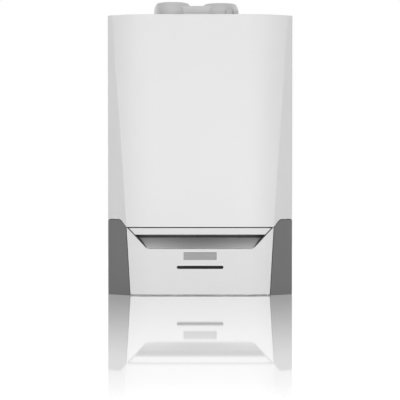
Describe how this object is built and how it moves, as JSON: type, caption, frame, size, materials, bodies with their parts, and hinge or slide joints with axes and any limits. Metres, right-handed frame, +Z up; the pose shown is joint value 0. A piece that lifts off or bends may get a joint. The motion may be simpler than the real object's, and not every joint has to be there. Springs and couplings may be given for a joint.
{
  "type": "heat-only boiler",
  "caption": "Wall-hung heat-only gas boiler with a bowed white casing, grey skirt posts, a drop-down lower door, a twin flue adapter and its working parts inside.",
  "frame": {"origin": "middle of the casing's footprint, on the plane that its side panels stand on", "axes": "+Z up, -Y out of the front, +X to the right as seen from the front, +Y towards the wall"},
  "size_m": [0.5, 0.5, 0.815],
  "materials": {
    "white_paint": "satin powder coat",
    "white_plastic": "satin moulded",
    "post_grey": "fine moulded grain",
    "grip_grey": "fine moulded grain",
    "black_gloss": "polished",
    "badge_silver": "brushed, blank",
    "black_rubber": "soft",
    "zinc_steel": "zinc plated",
    "stainless_steel": "brushed",
    "cast_aluminium": "sand cast",
    "copper": "drawn copper tube",
    "brass": "machined",
    "box_grey": "fine moulded grain",
    "adapter_grey": "satin moulded",
    "flue_plastic": "satin moulded",
    "dark_plastic": "fine moulded grain",
    "board_green": "solder resist",
    "electrode_ceramic": "fired"
  },
  "bodies": {
    "chassis": {"front_seal": "black_rubber", "side_panel_left": "white_paint", "side_panel_right": "white_paint", "top_panel": "white_paint", "bottom_tray": "zinc_steel", "back_plate": "zinc_steel", "hanging_rail": "zinc_steel", "wall_bracket": "zinc_steel", "corner_post_left": "post_grey", "corner_post_right": "post_grey", "hinge_rail": "zinc_steel", "hinge_pins": "zinc_steel", "flue_adapter": "adapter_grey", "flue_seals": "black_rubber", "sampling_caps": "adapter_grey", "flue_riser": "flue_plastic", "heat_exchanger": "stainless_steel", "exchanger_coil": "stainless_steel", "exchanger_brackets": "zinc_steel", "burner_gasket": "black_rubber", "burner_cover": "cast_aluminium", "burner_nuts": "zinc_steel", "burner_tube": "stainless_steel", "ignition_electrode": "electrode_ceramic", "ignition_unit": "dark_plastic", "mixing_duct": "cast_aluminium", "fan_housing": "cast_aluminium", "fan_motor": "dark_plastic", "venturi": "cast_aluminium", "gas_valve": "cast_aluminium", "gas_pipe": "brass", "air_silencer": "dark_plastic", "flow_pipe": "copper", "return_pipe": "copper", "air_vent": "brass", "siphon": "flue_plastic", "pipe_grommets": "black_rubber", "wiring_loom": "dark_plastic", "casing_screws": "zinc_steel"},
    "front_cover": {"front_cover": "white_paint", "cover_grip_strip": "white_plastic"},
    "quarter_turn_left": {"quarter_turn_left": "zinc_steel"},
    "quarter_turn_right": {"quarter_turn_right": "zinc_steel"},
    "control_box": {"control_housing": "box_grey", "control_fascia": "box_grey", "display_window": "black_gloss", "control_board": "board_green", "terminal_block": "dark_plastic", "cable_glands": "dark_plastic", "door_catches": "dark_plastic"},
    "lower_door": {"lower_door": "white_plastic", "grip_tray": "grip_grey", "slot_lens": "black_gloss", "badge_plate": "badge_silver"},
    "key_menu": {"key_menu": "dark_plastic"},
    "key_minus": {"key_minus": "dark_plastic"},
    "key_plus": {"key_plus": "dark_plastic"},
    "key_reset": {"key_reset": "dark_plastic"},
    "power_switch": {"power_switch": "dark_plastic"},
    "fan_rotor": {"fan_impeller": "dark_plastic"}
  },
  "joints": [
    {"name": "cover_pull", "type": "slide", "parent": "chassis", "child": "front_cover", "axis": [0, -1, 0], "range_m": [0, 0.12]},
    {"name": "quarter_turn_left_turn", "type": "hinge", "parent": "front_cover", "child": "quarter_turn_left", "pos_m": [-0.15, -0.18, 0.178], "axis": [0, 0, 1], "range_deg": [0, 90]},
    {"name": "quarter_turn_right_turn", "type": "hinge", "parent": "front_cover", "child": "quarter_turn_right", "pos_m": [0.15, -0.18, 0.178], "axis": [0, 0, 1], "range_deg": [0, 90]},
    {"name": "control_box_tilt", "type": "hinge", "parent": "chassis", "child": "control_box", "pos_m": [0, -0.242, 0.014], "axis": [1, 0, 0], "range_deg": [0, 28]},
    {"name": "lower_door_swing", "type": "hinge", "parent": "control_box", "child": "lower_door", "pos_m": [0, -0.242, 0.014], "axis": [1, 0, 0], "range_deg": [0, 62]},
    {"name": "key_menu_press", "type": "slide", "parent": "control_box", "child": "key_menu", "axis": [0, 1, 0], "range_m": [0, 0.0015], "stiffness_N_per_m": 600},
    {"name": "key_minus_press", "type": "slide", "parent": "control_box", "child": "key_minus", "axis": [0, 1, 0], "range_m": [0, 0.0015], "stiffness_N_per_m": 600},
    {"name": "key_plus_press", "type": "slide", "parent": "control_box", "child": "key_plus", "axis": [0, 1, 0], "range_m": [0, 0.0015], "stiffness_N_per_m": 600},
    {"name": "key_reset_press", "type": "slide", "parent": "control_box", "child": "key_reset", "axis": [0, 1, 0], "range_m": [0, 0.0015], "stiffness_N_per_m": 600},
    {"name": "power_switch_rock", "type": "hinge", "parent": "control_box", "child": "power_switch", "pos_m": [0.13, -0.186, 0.082], "axis": [1, 0, 0], "range_deg": [-8, 8]},
    {"name": "fan_spin", "type": "hinge", "parent": "chassis", "child": "fan_rotor", "pos_m": [0.125, -0.15, 0.3], "axis": [0, 1, 0], "continuous": true}
  ]
}
